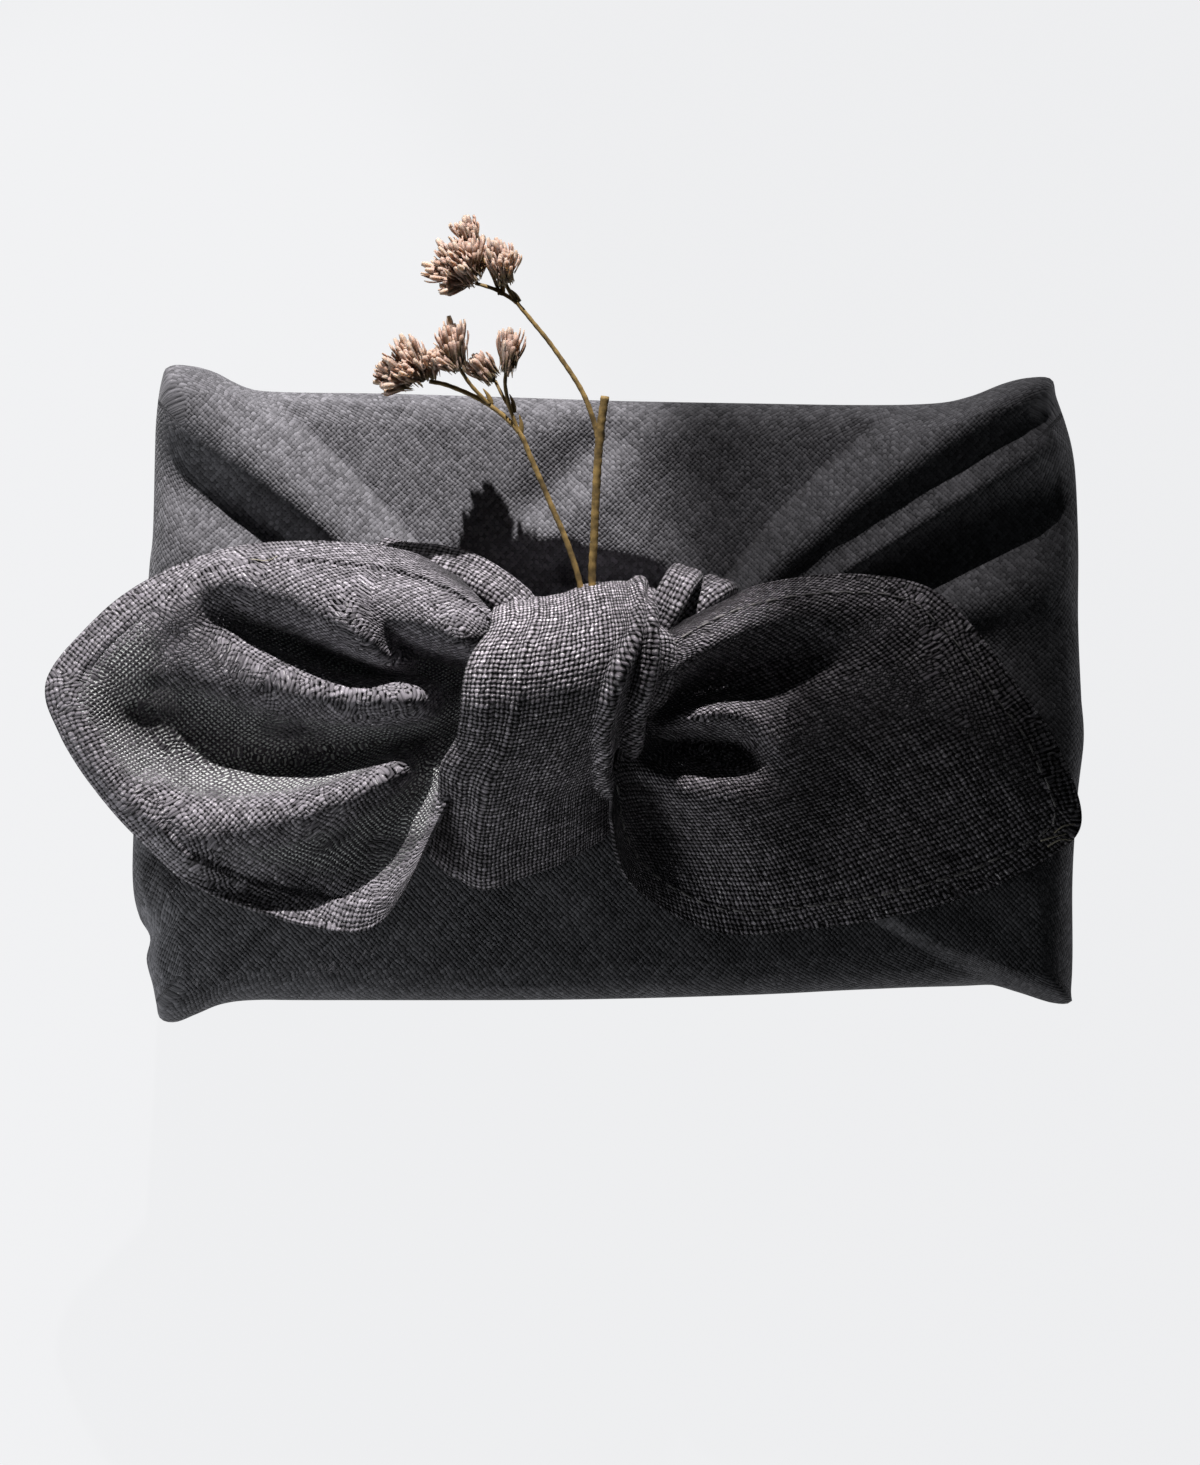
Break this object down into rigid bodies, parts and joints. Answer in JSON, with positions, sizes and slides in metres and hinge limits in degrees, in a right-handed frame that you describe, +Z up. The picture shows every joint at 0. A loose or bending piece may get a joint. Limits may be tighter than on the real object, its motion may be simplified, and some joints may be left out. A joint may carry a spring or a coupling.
{
  "type": "furoshiki wrap",
  "caption": "Square linen wrapping cloth folded round a flat parcel and tied on top in a square knot with two free ends, dried sprigs tucked behind the knot.",
  "frame": {"origin": "middle of the flat underside, on the surface the wrap rests on", "axes": "+X along the parcel, towards the knot's flat leaf-shaped free end; +Y across the parcel, towards the flower heads; +Z up through the knot"},
  "size_m": [0.1806, 0.1398, 0.0746],
  "materials": {
    "linen": "matt open plain weave, charcoal grey",
    "stem": "dry, olive ochre",
    "flower": "dry papery bracts, dusty rose brown"
  },
  "bodies": {
    "root": {"cloth": "linen", "west_sprig": "stem", "east_sprig": "stem", "west_flower_1": "flower", "west_flower_2": "flower", "west_flower_3": "flower", "west_flower_4": "flower", "east_flower_5": "flower", "east_flower_6": "flower", "east_flower_7": "flower"}
  },
  "joints": []
}
